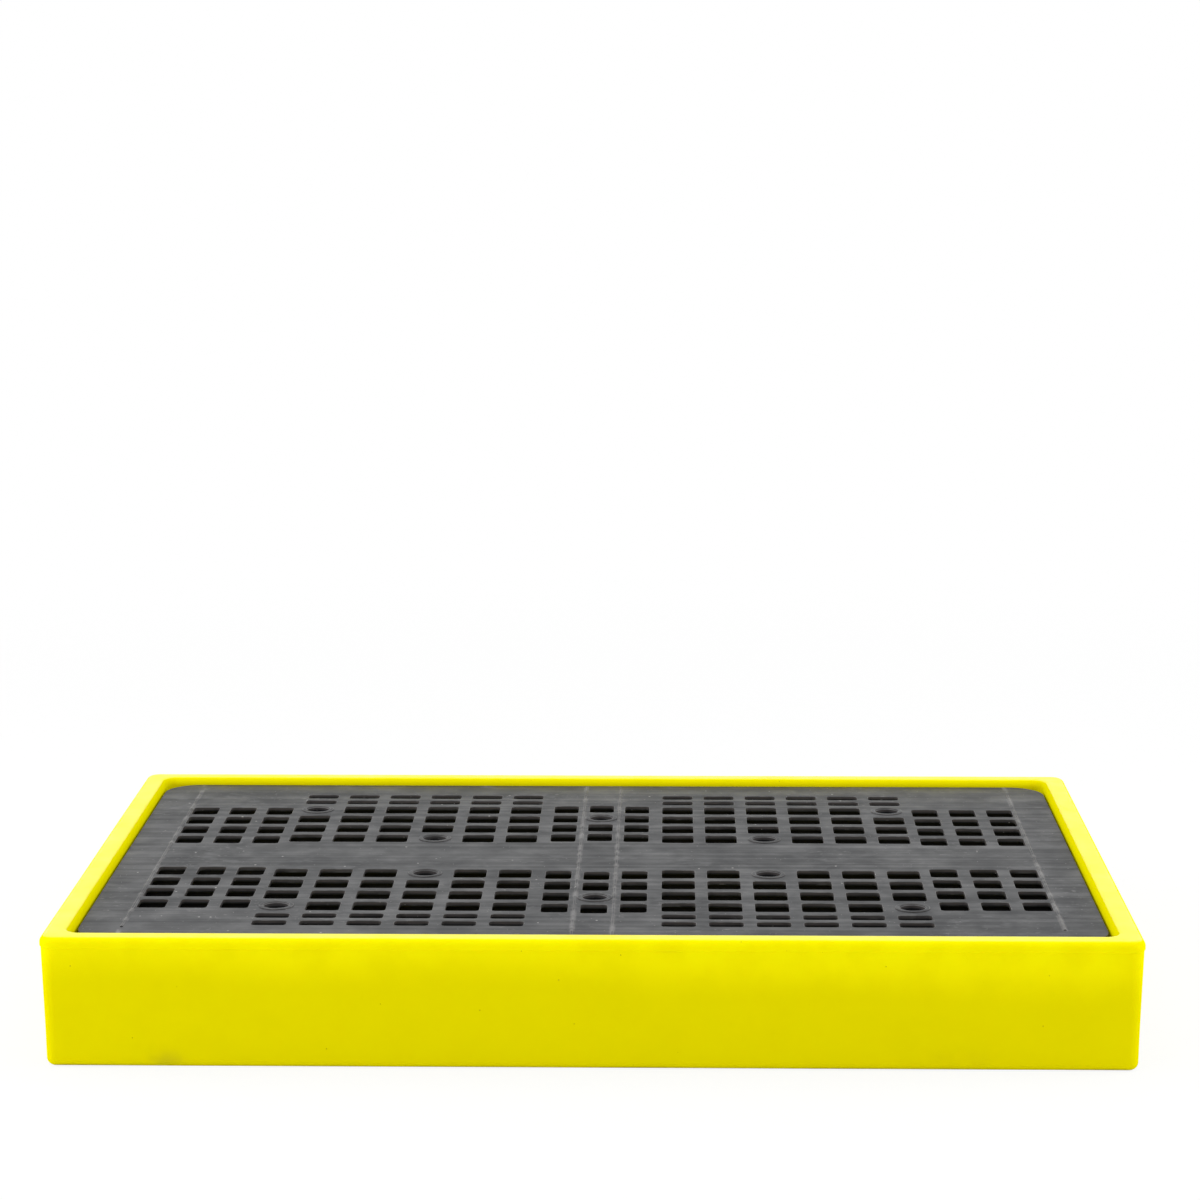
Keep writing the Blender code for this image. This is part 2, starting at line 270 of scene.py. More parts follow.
def turned(bm, profile, place):
    """Turns a closed profile of (radius, z) about the upright axis through place."""
    rings = []
    for i in range(ROUND_STEPS):
        angle = math.tau * i / ROUND_STEPS
        turn = Vector((math.cos(angle), math.sin(angle), 0.0))
        rings.append([(r, Vector((place[0], place[1], z)) + turn * r) for r, z in profile])
    on_axis = {j: bm.verts.new(point) for j, (r, point) in enumerate(rings[0]) if r == 0.0}
    made = [[on_axis.get(j) or bm.verts.new(point) for j, (r, point) in enumerate(ring)] for ring in rings]
    for left, right in zip(made, made[1:] + made[:1]):
        for j in range(len(profile)):
            corners = dict.fromkeys((left[j - 1], left[j], right[j], right[j - 1]))
            if len(corners) > 2:
                bm.faces.new(list(corners))


def swept(bm, section, start, end):
    """A bar with this (across, z) section from start to end, both (x, y)."""
    along = (Vector(end) - Vector(start)).normalized()
    across = Vector((-along.y, along.x))
    rings = []
    for x, y in (start, end):
        rings.append([bm.verts.new((x + across.x * a, y + across.y * a, z)) for a, z in section])
    for i in range(len(section)):
        bm.faces.new((rings[0][i - 1], rings[0][i], rings[1][i], rings[1][i - 1]))
    bm.faces.new(rings[0])
    bm.faces.new(rings[1])


def cones(name, places, low, high, low_radius, high_radius):
    """Separate upright cylinders or cones in one cutter, one at each (x, y)."""
    bm = bmesh.new()
    for place in places:
        turned(bm, [(0.0, high), (high_radius, high), (low_radius, low), (0.0, low)], place)
    return from_bmesh(name, bm)


def combine(obj, other, operation):
    """One Boolean, applied at once. The other object is used up."""
    modifier = obj.modifiers.new(operation, "BOOLEAN")
    modifier.operation = operation
    modifier.object = other
    modifier.solver = "MANIFOLD"
    graph = bpy.context.evaluated_depsgraph_get()
    mesh = bpy.data.meshes.new_from_object(obj.evaluated_get(graph))
    obj.modifiers.clear()
    obj.data = mesh
    bpy.data.objects.remove(other)


def dress(obj, material, body, slot, *nodes):
    """Shading, material and place in the frame."""
    obj.data.shade_smooth()
    obj.data.set_sharp_from_angle(angle=SMOOTH_ANGLE)
    weighted = obj.modifiers.new("Flat faces stay flat", "WEIGHTED_NORMAL")
    weighted.keep_sharp = True
    obj.data.materials.clear()
    obj.data.materials.append(material)
    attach(obj, body)
    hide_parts(*nodes)


def mirrored(places):
    """The places (x, y) of one quarter and their images in the other three."""
    return sorted({(sx * x, sy * y) for x, y in places for sx in (1, -1) for sy in (1, -1)})


# ---------------------------------------------------------------- sump


def sump_sections():
    """From the base, up the outside, over the rim and down to the sump's floor."""
    outside = arc((BASE_INSET + BASE_FILLET, BASE_FILLET), BASE_FILLET, 270, 180)
    parting = HEIGHT - LIP_HEIGHT
    bend = LIP_STEP * LIP_BEND
    for share in QUARTERS:
        inset = BASE_INSET + (LIP_STEP - BASE_INSET) * share
        outside.append((inset, BASE_FILLET + (parting - BASE_FILLET) * share))
    outside += [(LIP_STEP, parting - LIP_ROUND), (LIP_STEP - bend, parting)]
    outside += [(bend, parting + LIP_ROUND), (0.0, parting + 2 * LIP_ROUND)]
    outside += arc((RIM_OUTER_FILLET, HEIGHT - RIM_OUTER_FILLET), RIM_OUTER_FILLET, 180, 90)
    inner_centre = (RIM_WIDTH - RIM_INNER_FILLET, HEIGHT - RIM_INNER_FILLET)
    wall_foot = RIM_WIDTH + INNER_DRAFT
    ledge_top = DECK_BOTTOM - GAP
    beside_deck = arc(inner_centre, RIM_INNER_FILLET, 90, 0) + [(wall_foot, ledge_top)]
    ledge_end = wall_foot + LEDGE_WIDTH
    ledge_edge = arc((ledge_end - LEDGE_ROUND, ledge_top - LEDGE_ROUND), LEDGE_ROUND, 90, 0, 4)
    floor_centre = (ledge_end + LOWER_DRAFT + FLOOR_FILLET, FLOOR_TOP + FLOOR_FILLET)
    below_deck = ledge_edge + arc(floor_centre, FLOOR_FILLET, 180, 270)
    sections = [(inset, z, OUTER_CORNER - inset) for inset, z in outside]
    sections += [(inset, z, INNER_CORNER + max(RIM_WIDTH - inset, 0.0)) for inset, z in beside_deck]
    closing = SUMP_CORNER_CLOSING
    sections += [(inset, z, SUMP_CORNER - (inset - ledge_end) * closing) for inset, z in below_deck]
    return sections


def wander(obj):
    """Takes the outer walls and the rim a little off flat, as a large moulding cools."""
    for vert in obj.data.vertices:
        x, y, z = vert.co
        outside = max(abs(x) - DECK_HIGH.x, abs(y) - DECK_HIGH.y)
        if outside > RIM_WIDTH / 2 and z > BASE_FILLET:
            amount = noise.noise(Vector((x, y, z * 2)) * WANDER_SCALE)
            vert.co += vert.normal * WALL_WANDER * (amount - 1) / 2


def build_sump(material):
    sump = lofted("sump_shell", SUMP_HIGH.x, SUMP_HIGH.y, sump_sections(), SIDE_STEPS)
    wander(sump)
    mouth = RECESS_MOUTH + CUT_THROUGH * (RECESS_MOUTH - RECESS_END) / RECESS_DEPTH
    places = list(COLUMN_PLACES.values())
    combine(sump, cones("recesses", places, -CUT_THROUGH, RECESS_DEPTH, mouth, RECESS_END), "DIFFERENCE")
    plug = (PLUG_LOW + PLUG_HIGH) / 2
    seat_radius = (PLUG_HIGH.x - PLUG_LOW.x) / 2 + GAP
    seat = cones("seat", [plug.xy], -CUT_THROUGH, PLUG_HIGH.z + GAP, seat_radius, seat_radius)
    combine(sump, seat, "DIFFERENCE")
    dress(sump, material, "sump", "sump_yellow", "sump")


# ---------------------------------------------------------------- vent plug


def build_vent_plug(material):
    """A pressed-in plug: a flange with a shallow dish, and a stem with a barb."""
    plug = (PLUG_LOW + PLUG_HIGH) / 2
    flange = (PLUG_HIGH.x - PLUG_LOW.x) / 2
    low, high = PLUG_LOW.z, PLUG_HIGH.z
    stem = flange * STEM_SHARE
    profile = [(0.0, high), (stem * STEM_END_SHARE, high)]
    profile += [(stem * BARB_SHARE, high - BARB_HIGH), (stem, high - BARB_LOW)]
    profile += [(stem, low + FLANGE_THICKNESS), (flange - EDGE_ROUND, low + FLANGE_THICKNESS)]
    profile += arc((flange - EDGE_ROUND, low + EDGE_ROUND), EDGE_ROUND, 0, -90, 4)
    dish = low + DISH_DEPTH
    profile += [(flange * DISH_SHARE, low), (flange * DISH_FLOOR_SHARE, dish), (0.0, dish)]
    bm = bmesh.new()
    turned(bm, profile, plug.xy)
    dress(from_bmesh("vent_plug_turned", bm), material, "sump", "plug_black", "vent_plug")


# ---------------------------------------------------------------- deck


def slot_columns():
    """Each column of slots on the +X side as (x, slot width, shift of its rows)."""
    columns = [(0.0, CENTRE_WIDTH, 0.0), (FLANK_X, CENTRE_WIDTH, FLANK_SHIFT)]
    columns += [(MAIN_FIRST + i * MAIN_PITCH, MAIN_WIDTH, MAIN_SHIFT) for i in range(MAIN_COUNT)]
    columns += [(CORNER_FIRST + i * CORNER_PITCH, CORNER_WIDTH, CORNER_SHIFT) for i in range(CORNER_COUNT)]
    return columns


def slots():
    """Every slot as ((x, y), (width, length)), leaving out the cells that hold a column."""
    found = {}
    for x, width, shift in slot_columns():
        rows = [(ROW_FIRST + i * ROW_PITCH + shift, SLOT_LENGTH) for i in range(ROW_COUNT)]
        if shift == MAIN_SHIFT:
            rows += [(y, OUTER_SLOT_LENGTH) for y in OUTER_ROWS]
        for y, length in rows:
            for place in mirrored([(x, y)]):
                if all((Vector(place) - column).length > SOCKET_BORE for column in COLUMN_PLACES.values()):
                    found[place] = (width, length)
    return sorted(found.items())


def reach_of_deck(y):
    """How far the deck runs to each side at this y, up to the middle of its skirt."""
    into_corner = max(y - (DECK_HIGH.y - DECK_CORNER), 0.0)
    return DECK_HIGH.x - DECK_CORNER + math.sqrt(DECK_CORNER**2 - into_corner**2) - SKIRT / 2


def rib_rows():
    """Each rib along X as (low x, high x, y): across the whole deck, or under the bars of one group."""
    ribs = [(-reach_of_deck(y), reach_of_deck(y), y) for y in RIB_ROWS]
    ribs += [(-CENTRE_END, CENTRE_END, y) for y in CENTRE_RIBS]
    bars = [ROW_FIRST + (i + 0.5) * ROW_PITCH for i in range(ROW_COUNT)]
    last_slot_end = ROW_FIRST + (ROW_COUNT - 1) * ROW_PITCH + MAIN_SHIFT + SLOT_LENGTH / 2
    first_outer_start = OUTER_ROWS[0] - OUTER_SLOT_LENGTH / 2
    main_bars = [y + MAIN_SHIFT for y in bars[:-1]]
    main_bars += [(last_slot_end + first_outer_start) / 2, sum(OUTER_ROWS) / 2]
    for side in (1, -1):
        ribs += [(*sorted((side * CENTRE_END, side * MAIN_END)), y) for y in main_bars]
        ribs += [(*sorted((side * MAIN_END, side * CORNER_END)), y + CORNER_SHIFT) for y in bars]
    return sorted({(low, high, side * y) for low, high, y in ribs for side in (1, -1)})


def rib_section(depth):
    """A rib's (across, z) section: it thins downwards and ends round."""
    top = PLATE_BOTTOM + PLATE / 2
    tip = PLATE_BOTTOM - depth
    round_end = arc((0.0, tip + RIB_TIP / 2), RIB_TIP / 2, 180, 360, 6)
    return [(RIB_ROOT / 2, top), (-RIB_ROOT / 2, top)] + round_end


def build_ribs():
    bm = bmesh.new()
    end_y = DECK_HIGH.y - SKIRT / 2
    for x in RIB_COLUMNS:
        for side in (1, -1):
            swept(bm, rib_section(RIB_DEPTH), (side * x, -end_y), (side * x, end_y))
    ribs = from_bmesh("ribs_along_y", bm)
    bm = bmesh.new()
    for low, high, y in rib_rows():
        swept(bm, rib_section(RIB_DEPTH - RIB_STEP), (low, y), (high, y))
    combine(ribs, from_bmesh("ribs_along_x", bm), "UNION")
    return ribs


def build_skirt():
    bottom = DECK_BOTTOM
    root = PLATE_BOTTOM + PLATE / 2
    outer = arc((SKIRT_INSET + EDGE_ROUND, bottom + EDGE_ROUND), EDGE_ROUND, 180, 270, 4)
    inner = arc((SKIRT - EDGE_ROUND, bottom + EDGE_ROUND), EDGE_ROUND, 270, 360, 4)
    path = [(SKIRT_INSET, root)] + outer + inner + [(SKIRT, root)]
    sections = [(inset, z, DECK_CORNER - inset) for inset, z in path]
    return lofted("skirt", DECK_HIGH.x, DECK_HIGH.y, sections, closed=True)


def build_sockets():
    """Collars under the plate that take the columns, bored when the deck is whole."""
    low = PLATE_BOTTOM - SOCKET_DEPTH
    edge = arc((SOCKET_RADIUS - EDGE_ROUND, low + EDGE_ROUND), EDGE_ROUND, 0, -90, 4)
    high = PLATE_BOTTOM + PLATE / 2
    bm = bmesh.new()
    for place in COLUMN_PLACES.values():
        turned(bm, [(0.0, high), (SOCKET_RADIUS, high)] + edge + [(0.0, low)], place)
    return from_bmesh("sockets", bm)


def build_raised_lines():
    """Low ridges along Y and low collars round the holes, on top of the plate."""
    base = DECK_TOP - PLATE_ROUND
    bm = bmesh.new()
    angles = [math.radians(a) for a in range(0, 181, 20)]
    crown = [(RIDGE_WIDTH / 2 * math.cos(a), DECK_TOP + RIDGE_HEIGHT * math.sin(a)) for a in angles]
    section = crown + [(-RIDGE_WIDTH / 2, base), (RIDGE_WIDTH / 2, base)]
    for x, reach in RIDGES:
        for side in (1, -1):
            swept(bm, section, (side * x, -reach), (side * x, reach))
    middle = (COLLAR_RADIUS + HOLE_RADIUS) / 2
    width = COLLAR_RADIUS - HOLE_RADIUS - 2 * PLATE_ROUND
    angles = [math.radians(a) for a in range(0, 181, 15)]
    top = [(middle + width / 2 * math.cos(a), DECK_TOP + COLLAR_HEIGHT * math.sin(a) ** 0.5) for a in angles]
    for place in COLUMN_PLACES.values():
        turned(bm, [(middle - width / 2, base)] + top[::-1] + [(middle + width / 2, base)], place)
    return from_bmesh("raised_lines", bm)


def add_outline(curve, points):
    spline = curve.splines.new("POLY")
    spline.points.add(len(points) - 1)
    for point, place in zip(spline.points, points):
        point.co = (place[0], place[1], 0.0, 1.0)
    spline.use_cyclic_u = True


def build_plate():
    """The slotted plate: a filled flat curve with rounded edges, made a mesh."""
    curve = bpy.data.curves.new("plate", "CURVE")
    curve.dimensions = "2D"
    curve.fill_mode = "BOTH"
    curve.extrude = PLATE / 2 - PLATE_ROUND
    curve.bevel_depth = PLATE_ROUND
    curve.bevel_resolution = 2
    curve.offset = -PLATE_ROUND
    add_outline(curve, rounded_rectangle(DECK_HIGH.x, DECK_HIGH.y, DECK_CORNER, CORNER_STEPS))
    for (x, y), (width, length) in slots():
        outline = rounded_rectangle(width / 2, length / 2, SLOT_CORNER, SLOT_STEPS)
        add_outline(curve, [(x + p[0], y + p[1]) for p in outline])
    for place in COLUMN_PLACES.values():
        add_outline(curve, arc(place, HOLE_RADIUS, 0, 360 * (1 - 1 / ROUND_STEPS), ROUND_STEPS - 1))
    drawn = link("plate_curve", curve)
    graph = bpy.context.evaluated_depsgraph_get()
    mesh = bpy.data.meshes.new_from_object(drawn.evaluated_get(graph))
    bpy.data.objects.remove(drawn)
    bm = bmesh.new()
    bm.from_mesh(mesh)
    bpy.data.meshes.remove(mesh)
    bmesh.ops.remove_doubles(bm, verts=bm.verts[:], dist=0.00001)
    bmesh.ops.translate(bm, verts=bm.verts[:], vec=(0.0, 0.0, DECK_TOP - PLATE / 2))
    return from_bmesh("deck_moulding", bm)


def build_deck(material):
    deck = build_plate()
    combine(deck, build_skirt(), "UNION")
    combine(deck, build_ribs(), "UNION")
    combine(deck, build_sockets(), "UNION")
    combine(deck, build_raised_lines(), "UNION")
    places = list(COLUMN_PLACES.values())
    low, high = DECK_BOTTOM - CUT_THROUGH, PLATE_BOTTOM + SOCKET_ROOF
    combine(deck, cones("bores", places, low, high, SOCKET_BORE, SOCKET_BORE), "DIFFERENCE")
    low, high = PLATE_BOTTOM - CUT_THROUGH, DECK_TOP - PLATE_ROUND
    combine(deck, cones("holes", places, low, high, HOLE_RADIUS, HOLE_RADIUS), "DIFFERENCE")
    dress(deck, material, "deck", "deck_black", "deck")


def build_columns(material):
    """Open tubes with a flared foot, plugged into the deck."""
    top, foot = COLUMN_TOP, COLUMN_FOOT
    flare_low = foot + FOOT_HEIGHT
    profile = arc((COLUMN_RADIUS - EDGE_ROUND, top - EDGE_ROUND), EDGE_ROUND, 90, 0, 3)
    profile += [(COLUMN_RADIUS, flare_low + FOOT_FLARE * FLARE_START)]
    for share in QUARTERS:
        spread = (FOOT_RADIUS - COLUMN_RADIUS) * (1 - math.cos(share * math.pi / 2))
        profile.append((COLUMN_RADIUS + spread, flare_low + FOOT_FLARE * (1 - share)))
    profile += arc((FOOT_RADIUS - EDGE_ROUND, flare_low - EDGE_ROUND), EDGE_ROUND, 60, 0, 3)
    profile += arc((FOOT_RADIUS - EDGE_ROUND, foot + EDGE_ROUND), EDGE_ROUND, 0, -90, 3)
    profile += arc((COLUMN_BORE + EDGE_ROUND, foot + EDGE_ROUND), EDGE_ROUND, 270, 180, 3)
    profile += arc((COLUMN_BORE + EDGE_ROUND, top - EDGE_ROUND), EDGE_ROUND, 180, 90, 3)
    for name, place in COLUMN_PLACES.items():
        bm = bmesh.new()
        turned(bm, profile, place)
        dress(from_bmesh(name + "_tube", bm), material, "deck", "column_black", name)


# ---------------------------------------------------------------- material helpers


def new_material(name):
    material = bpy.data.materials.new(name)
    material.use_nodes = True
    return material, material.node_tree


def add(tree, kind, inputs, **settings):
    """A node with its settings and inputs, each input a value or another node's output."""
    made = tree.nodes.new(kind)
    for name, value in settings.items():
        setattr(made, name, value)
    for name, value in inputs.items():
        if isinstance(value, bpy.types.NodeSocket):
            tree.links.new(value, made.inputs[name])
        else:
            made.inputs[name].default_value = value
    return made


def place_in(tree, stretch=(1.0, 1.0, 1.0), turn=0.0):
    """Object coordinates in metres, stretched and turned about Z."""
    coords = add(tree, "ShaderNodeTexCoord", {}).outputs["Object"]
    inputs = {"Vector": coords, "Scale": stretch, "Rotation": (0.0, 0.0, math.radians(turn))}
    return add(tree, "ShaderNodeMapping", inputs).outputs["Vector"]


def cloud(tree, where, scale, detail=3.0):
    """Noise around 0.5."""
    inputs = {"Vector": where, "Scale": scale, "Detail": detail}
    return add(tree, "ShaderNodeTexNoise", inputs).outputs["Fac"]


def spots(tree, where, scale, size):
    """1 within size (a share of the cell) of scattered points, else 0."""
    cells = add(tree, "ShaderNodeTexVoronoi", {"Vector": where, "Scale": scale}).outputs["Distance"]
    return between(tree, cells, size, size * 0.7)


def between(tree, value, low, high, from_low=0.0, to_high=1.0):
    """Smoothly from one value to the other as the input goes from low to high."""
    inputs = {"Value": value, "From Min": low, "From Max": high, "To Min": from_low, "To Max": to_high}
    return add(tree, "ShaderNodeMapRange", inputs, interpolation_type="SMOOTHSTEP").outputs["Result"]


def calc(tree, operation, first, second=0.0):
    made = add(tree, "ShaderNodeMath", {}, operation=operation)
    for socket, value in zip(made.inputs, (first, second)):
        if isinstance(value, bpy.types.NodeSocket):
            tree.links.new(value, socket)
        else:
            socket.default_value = value
    return made.outputs["Value"]


def tint(tree, factor, first, second):
    """The first colour, going over to the second as the factor rises."""
    made = add(tree, "ShaderNodeMix", {}, data_type="RGBA")
    for socket, value in zip((made.inputs[0], made.inputs[6], made.inputs[7]), (factor, first, second)):
        if isinstance(value, bpy.types.NodeSocket):
            tree.links.new(value, socket)
        else:
            socket.default_value = value if isinstance(value, float) else (*value, 1.0)
    return made.outputs[2]


def bump(tree, height, depth, under=None):
    inputs = {"Height": height, "Distance": depth, "Strength": 1.0}
    if under:
        inputs["Normal"] = under
    return add(tree, "ShaderNodeBump", inputs).outputs["Normal"]


def finish_with(tree, **inputs):
    shader = tree.nodes["Principled BSDF"]
    for name, value in inputs.items():
        socket = shader.inputs[name.replace("_", " ")]
        if isinstance(value, bpy.types.NodeSocket):
            tree.links.new(value, socket)
        else:
            socket.default_value = value


def height_above_floor(tree):
    coords = add(tree, "ShaderNodeTexCoord", {}).outputs["Object"]
    return add(tree, "ShaderNodeSeparateXYZ", {"Vector": coords}).outputs["Z"]


def levelness(tree):
    """0 on upright faces, 1 on level ones."""
    normal = add(tree, "ShaderNodeNewGeometry", {}).outputs["Normal"]
    return calc(tree, "ABSOLUTE", add(tree, "ShaderNodeSeparateXYZ", {"Vector": normal}).outputs["Z"])


def edge_mask(tree):
    """1 on faces that slope between upright and level, such as rounded edges."""
    level = levelness(tree)
    return calc(tree, "MULTIPLY", between(tree, level, 0.08, 0.3), between(tree, level, 0.99, 0.9))


def upright_mask(tree):
    return between(tree, levelness(tree), 0.3, 0.08)


# ---------------------------------------------------------------- materials


def yellow_polyethylene():
    """Rotomoulded polyethylene: mottled pigment, orange peel, stray specks, grime low on the walls, and
    painted light: a glow near the rim, shade on the rim's inner slope and a dark line at the floor.
    """
    material, tree = new_material("yellow_polyethylene")
    where = place_in(tree)
    z = height_above_floor(tree)
    # Painted glow: the wall's colour brightens from the deeper yellow towards the rim.
    waver = between(tree, cloud(tree, where, scale=2.6, detail=2.0), 0.3, 0.7, -0.012, 0.012)
    painted_glow_edge = calc(tree, "ADD", z, waver)
    colour = tint(tree, between(tree, painted_glow_edge, PAINTED_GLOW_END, PAINTED_GLOW_START), YELLOW_DEEP, YELLOW_PAINTED_GLOW)
    mottle = between(tree, cloud(tree, where, scale=22.0, detail=4.0), 0.35, 0.75, 0.0, 0.30)
    colour = tint(tree, mottle, colour, YELLOW_DULL_AND_SHADE)
    # Painted shade on the rounded inner slope of the rim.
    colour = tint(tree, painted_shade_on_inner_slope(tree), colour, YELLOW_DULL_AND_SHADE)
    colour = tint(tree, dirt_and_shade_on_walls(tree, where, z), colour, DIRT_AND_SHADE)
    scuffs = between(tree, cloud(tree, place_in(tree, (2.0, 2.0, 60.0)), scale=6.0), 0.45, 0.75)
    roughness = between(tree, cloud(tree, where, scale=30.0, detail=5.0), 0.2, 0.8, 0.27, 0.38)
    roughness = calc(tree, "ADD", roughness, calc(tree, "MULTIPLY", scuffs, 0.06))
    normal = bump(tree, cloud(tree, where, scale=14.0, detail=2.0), 0.0012)
    normal = bump(tree, cloud(tree, where, scale=420.0, detail=2.0), 0.00009, normal)
    finish_with(
        tree,
        Base_Color=colour,
        Roughness=roughness,
        Normal=normal,
        IOR=1.5,
        Specular_IOR_Level=between(tree, levelness(tree), 0.86, 0.985, 0.0, 0.50),
        Specular_Tint=(1.0, 0.92, 0.0, 1.0),
        Subsurface_Weight=0.35,
        Subsurface_Radius=(1.0, 0.8, 0.03),
        Subsurface_Scale=0.007,
    )
    return material


def painted_shade_on_inner_slope(tree):
    """Where shade is painted: 1 on the rounded edge between the rim's top and the wall beside the deck, else
    0.
    """
    inside = between(tree, levelness(tree), 0.97, 0.85)
    coords = add(tree, "ShaderNodeTexCoord", {}).outputs["Object"]
    along = add(tree, "ShaderNodeSeparateXYZ", {"Vector": coords}).outputs
    for axis, edge in (("X", SUMP_HIGH.x), ("Y", SUMP_HIGH.y)):
        middle = edge - RIM_WIDTH / 2
        across = between(tree, calc(tree, "ABSOLUTE", along[axis]), middle, middle - 0.002)
        inside = calc(tree, "MULTIPLY", inside, across)
    return calc(tree, "MULTIPLY", inside, 0.8)


def dirt_and_shade_on_walls(tree, where, z):
    """Painted shade in a faint dark line at the floor, grime in a few smudges low down and in specks, and
    broken darker patches along the parting line.
    """
    # Painted shade: a faint broken dark line where the wall meets the floor.
    broken = between(tree, cloud(tree, where, scale=9.0), 0.35, 0.7, 0.1, 0.5)
    foot = calc(tree, "MULTIPLY", between(tree, z, 0.0045, 0.0), broken)
    smudges = between(tree, cloud(tree, where, scale=5.5, detail=4.0), 0.60, 0.74, 0.0, 0.35)
    smudge = calc(tree, "MULTIPLY", between(tree, z, 0.030, 0.004), smudges)
    off_parting = calc(tree, "ABSOLUTE", calc(tree, "SUBTRACT", z, HEIGHT - LIP_HEIGHT))
    broken = between(tree, cloud(tree, where, scale=7.0), 0.62, 0.75, 0.0, 0.25)
    line = calc(tree, "MULTIPLY", between(tree, off_parting, 0.004, 0.0), broken)
    specks = calc(tree, "MULTIPLY", spots(tree, where, scale=42.0, size=0.035), 0.6)
    dirt_and_shade = calc(tree, "MAXIMUM", foot, smudge)
    dirt_and_shade = calc(tree, "MAXIMUM", dirt_and_shade, line)
    return calc(tree, "MAXIMUM", dirt_and_shade, specks)


def black_moulding():
    """Injection-moulded black deck: flow streaks along X, cloudy scuffs, dust, worn edges and ridges with a
    painted highlight, painted light on the slots' upper walls, and painted shade under the plate.
    """
    material, tree = new_material("black_moulding")
    where = place_in(tree)
    z = height_above_floor(tree)
    streaks = cloud(tree, place_in(tree, (1.2, 90.0, 60.0)), scale=1.0, detail=4.0)
    haze = between(tree, cloud(tree, where, scale=9.0, detail=5.0), 0.35, 0.75)
    colour = tint(tree, haze, DECK_DARK, DECK_DUSTY)
    colour = tint(tree, between(tree, streaks, 0.5, 0.75, 0.0, 0.5), colour, DECK_DUSTY)
    turned_a_bit = place_in(tree, (1.0, 1.6, 1.0), 20.0)
    patches = between(tree, cloud(tree, turned_a_bit, scale=38.0, detail=4.0), 0.52, 0.72)
    patches = calc(tree, "MULTIPLY", patches, between(tree, cloud(tree, where, scale=6.0), 0.38, 0.62))
    colour = tint(tree, calc(tree, "MULTIPLY", patches, 0.8), colour, DECK_HAZE)
    turned_a_bit = place_in(tree, (1.0, 1.7, 1.0), 20.0)
    flecks = between(tree, cloud(tree, turned_a_bit, scale=115.0, detail=3.0), 0.60, 0.72)
    flecks = calc(tree, "MULTIPLY", flecks, between(tree, cloud(tree, where, scale=11.0), 0.46, 0.62))
    colour = tint(tree, calc(tree, "MULTIPLY", flecks, 0.65), colour, DECK_SCUFF_AND_HIGHLIGHT)
    for turn in (4.0, -11.0, 52.0):
        lines = cloud(tree, place_in(tree, (3.0, 420.0, 3.0), turn), scale=1.0, detail=2.0)
        scratched = calc(tree, "MULTIPLY", between(tree, lines, 0.67, 0.74), between(tree, haze, 0.2, 0.9))
        colour = tint(tree, calc(tree, "MULTIPLY", scratched, 0.5), colour, DECK_SCUFF_AND_HIGHLIGHT)
    # Wear and a painted highlight along the raised ridges.
    colour = tint(tree, ridge_wear_and_highlight(tree, where), colour, DECK_SCUFF_AND_HIGHLIGHT)
    # Worn rounded edges, partly a painted highlight along them.
    broken = between(tree, cloud(tree, where, scale=45.0), 0.35, 0.65, 0.3, 0.9)
    colour = tint(tree, calc(tree, "MULTIPLY", edge_mask(tree), broken), colour, DECK_SCUFF_AND_HIGHLIGHT)
    colour = tint(tree, spots(tree, where, scale=95.0, size=0.06), colour, DUST)
    colour = tint(tree, spots(tree, where, scale=31.0, size=0.05), colour, DUST)
    lip_low = DECK_TOP - SLOT_LIP_DEPTH
    # Painted light: upright faces near the top of the plate are made lighter.
    painted_lip_light = calc(tree, "MULTIPLY", between(tree, z, lip_low, lip_low + 0.001), upright_mask(tree))
    painted_lip_light = calc(tree, "MULTIPLY", painted_lip_light, between(tree, cloud(tree, where, scale=30.0), 0.3, 0.6, 0.5, 1.0))
    colour = tint(tree, painted_lip_light, colour, SLOT_LIP_PAINTED_LIGHT)
    # Painted shade: everything below the slots' upper walls is made darker.
    colour = tint(tree, between(tree, z, lip_low, lip_low - 0.0015), colour, DECK_PAINTED_SHADE)
    roughness = between(tree, cloud(tree, where, scale=24.0, detail=5.0), 0.25, 0.75, 0.40, 0.56)
    roughness = calc(tree, "ADD", roughness, between(tree, streaks, 0.35, 0.7, -0.05, 0.07))
    roughness = calc(tree, "ADD", roughness, calc(tree, "MULTIPLY", patches, 0.08))
    normal = bump(tree, streaks, 0.00035)
    normal = bump(tree, cloud(tree, where, scale=900.0, detail=2.0), 0.00005, normal)
    finish_with(
        tree,
        Base_Color=colour,
        Roughness=roughness,
        Normal=normal,
        IOR=1.5,
        Specular_IOR_Level=between(tree, z, lip_low - 0.0015, lip_low, 0.18, 0.30),
    )
    return material


def ridge_wear_and_highlight(tree, where):
    """Broken lighter marks along the raised lines: wear where drums slide over them, partly a painted
    highlight.
    """
    across = add(tree, "ShaderNodeSeparateXYZ", {"Vector": where}).outputs["X"]
    across = calc(tree, "ABSOLUTE", across)
    ridge_mark = 0.0
    for x, _ in RIDGES:
        off_line = calc(tree, "ABSOLUTE", calc(tree, "SUBTRACT", across, x))
        ridge_mark = calc(tree, "MAXIMUM", ridge_mark, between(tree, off_line, RIDGE_WIDTH * 1.3, RIDGE_WIDTH * 0.4))
    broken = between(tree, cloud(tree, where, scale=34.0, detail=4.0), 0.45, 0.62, 0.05, 1.0)
    return calc(tree, "MULTIPLY", ridge_mark, broken)


